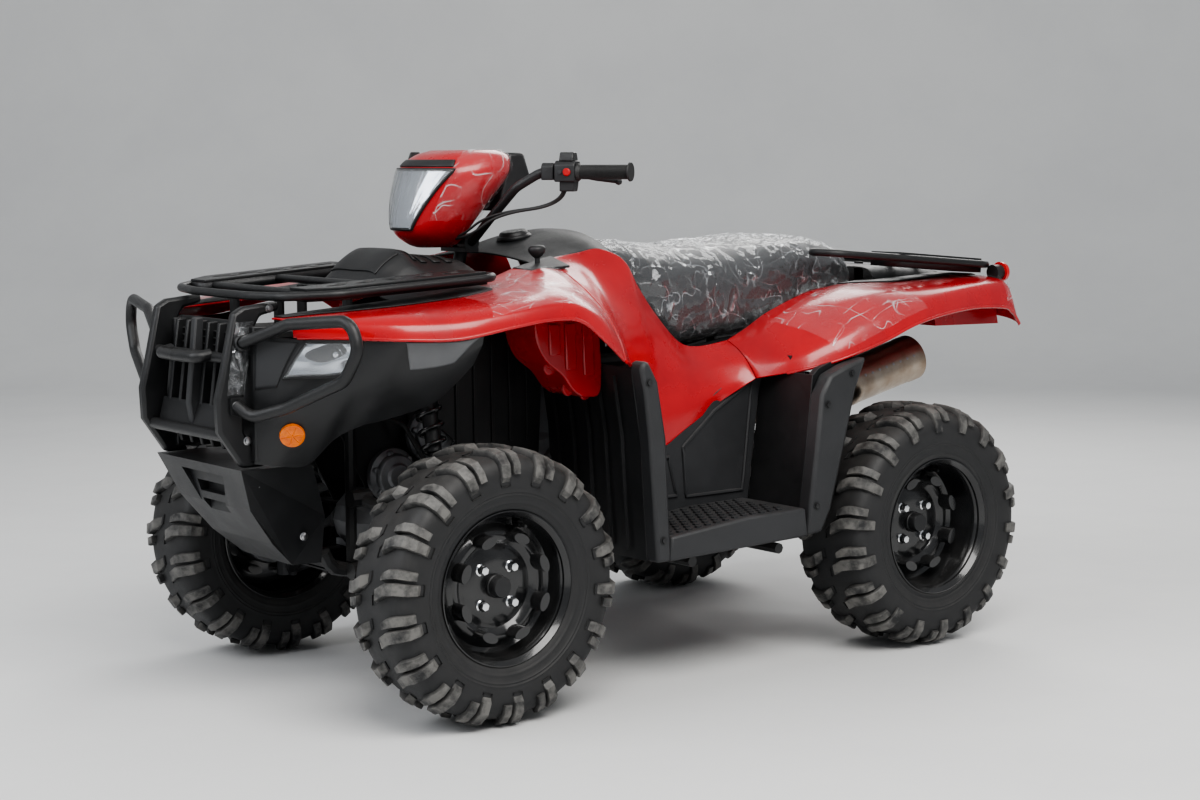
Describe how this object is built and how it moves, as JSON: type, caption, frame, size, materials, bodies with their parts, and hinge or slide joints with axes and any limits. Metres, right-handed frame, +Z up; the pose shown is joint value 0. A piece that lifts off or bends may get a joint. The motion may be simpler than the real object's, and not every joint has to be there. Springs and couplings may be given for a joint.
{
  "type": "quad bike",
  "caption": "Full-size utility quad bike with handlebar steering, independent suspension, front and rear racks, a bull bar with side hoops and chunky off-road tyres.",
  "frame": {"origin": "on the ground under the middle of the whole bike's box", "axes": "+X forwards, +Y to the rider's left, +Z up"},
  "size_m": [2.1999, 1.196, 1.238],
  "materials": {
    "tyre": "new black rubber",
    "rim_black": "semi-gloss black paint",
    "frame_black": "satin black powder coat",
    "rack_black": "fine textured black powder coat",
    "red_plastic": "glossy moulded red",
    "black_plastic": "fine-grained black",
    "grey_plastic": "grained dark grey",
    "seat_cover": "black grained vinyl",
    "engine_casting": "cast, unpainted",
    "gear_case": "dark coated casting",
    "shaft_rubber": "moulded rubber",
    "shaft_steel": "plain steel",
    "damper_steel": "dark coated steel",
    "spring_paint": "black powder coat",
    "steel_black": "black paint",
    "exhaust_steel": "heat tinted steel",
    "lens_clear": "clear lens",
    "lens_amber": "amber reflector",
    "lens_red": "red reflector",
    "grip_rubber": "ribbed rubber"
  },
  "bodies": {
    "chassis": {"amber_reflectors": "lens_amber", "bumper": "rack_black", "bumper_hoops": "rack_black", "centre_cover": "black_plastic", "differentials": "gear_case", "engine": "engine_casting", "footwell_bars": "frame_black", "footwells": "grey_plastic", "frame_cross_tubes": "frame_black", "frame_rails": "frame_black", "frame_uprights": "frame_black", "front_arms": "frame_black", "front_fender": "red_plastic", "front_rack": "rack_black", "front_side_panels": "black_plastic", "grille": "black_plastic", "half_shafts": "shaft_rubber", "headlamps": "lens_clear", "inner_boxes": "red_plastic", "lower_cover": "black_plastic", "muffler": "exhaust_steel", "propeller_shafts": "shaft_steel", "rack_stays": "frame_black", "rear_arms": "frame_black", "rear_fender": "red_plastic", "rear_hub_carriers": "gear_case", "rear_rack": "rack_black", "seat": "seat_cover", "selector_knob": "black_plastic", "shock_dampers": "damper_steel", "shock_mounts": "frame_black", "shock_springs": "spring_paint", "side_covers": "red_plastic", "skid_plate": "black_plastic", "steering_bearing": "frame_black", "tail_boxes": "red_plastic", "tail_lamps": "lens_red", "tank_cover": "black_plastic", "tow_hitch": "steel_black"},
    "steering": {"handlebar": "steel_black", "grips": "grip_rubber", "switch_housings": "black_plastic", "levers": "steel_black", "pod_shell": "red_plastic", "pod_lens": "lens_clear", "instrument": "black_plastic"},
    "knuckle_left": {"knuckle_left": "gear_case"},
    "knuckle_right": {"knuckle_right": "gear_case"},
    "tie_rod_left": {"tie_rod_left": "steel_black"},
    "tie_rod_right": {"tie_rod_right": "steel_black"},
    "wheel_front_left": {"tyre_front_left": "tyre", "rim_front_left": "rim_black"},
    "wheel_front_right": {"tyre_front_right": "tyre", "rim_front_right": "rim_black"},
    "wheel_rear_left": {"tyre_rear_left": "tyre", "rim_rear_left": "rim_black"},
    "wheel_rear_right": {"tyre_rear_right": "tyre", "rim_rear_right": "rim_black"}
  },
  "joints": [
    {"name": "steering_turn", "type": "hinge", "parent": "chassis", "child": "steering", "pos_m": [0.50038, 0, 0.37], "axis": [-0.259, 0, 0.9659], "range_deg": [-40, 40]},
    {"name": "knuckle_left_turn", "type": "hinge", "parent": "chassis", "child": "knuckle_left", "pos_m": [0.6, 0.395, 0.303], "axis": [0, 0, 1], "range_deg": [-34, 34]},
    {"name": "tie_rod_left_turn", "type": "hinge", "parent": "knuckle_left", "child": "tie_rod_left", "pos_m": [0.505, 0.395, 0.3753], "axis": [0, 0, 1], "range_deg": [-34, 34]},
    {"name": "wheel_front_left_spin", "type": "hinge", "parent": "knuckle_left", "child": "wheel_front_left", "pos_m": [0.6, 0.47, 0.303], "axis": [0, 1, 0], "continuous": true},
    {"name": "wheel_rear_left_spin", "type": "hinge", "parent": "chassis", "child": "wheel_rear_left", "pos_m": [-0.695, 0.48, 0.303], "axis": [0, 1, 0], "continuous": true},
    {"name": "knuckle_right_turn", "type": "hinge", "parent": "chassis", "child": "knuckle_right", "pos_m": [0.6, -0.395, 0.303], "axis": [0, 0, 1], "range_deg": [-34, 34]},
    {"name": "tie_rod_right_turn", "type": "hinge", "parent": "knuckle_right", "child": "tie_rod_right", "pos_m": [0.505, -0.395, 0.3753], "axis": [0, 0, 1], "range_deg": [-34, 34]},
    {"name": "wheel_front_right_spin", "type": "hinge", "parent": "knuckle_right", "child": "wheel_front_right", "pos_m": [0.6, -0.47, 0.303], "axis": [0, 1, 0], "continuous": true},
    {"name": "wheel_rear_right_spin", "type": "hinge", "parent": "chassis", "child": "wheel_rear_right", "pos_m": [-0.695, -0.48, 0.303], "axis": [0, 1, 0], "continuous": true}
  ],
  "couplings": [
    {"joint": "knuckle_left_turn", "follows": "steering_turn", "ratio": 0.85},
    {"joint": "tie_rod_left_turn", "follows": "steering_turn", "ratio": -0.85},
    {"joint": "knuckle_right_turn", "follows": "steering_turn", "ratio": 0.85},
    {"joint": "tie_rod_right_turn", "follows": "steering_turn", "ratio": -0.85}
  ]
}
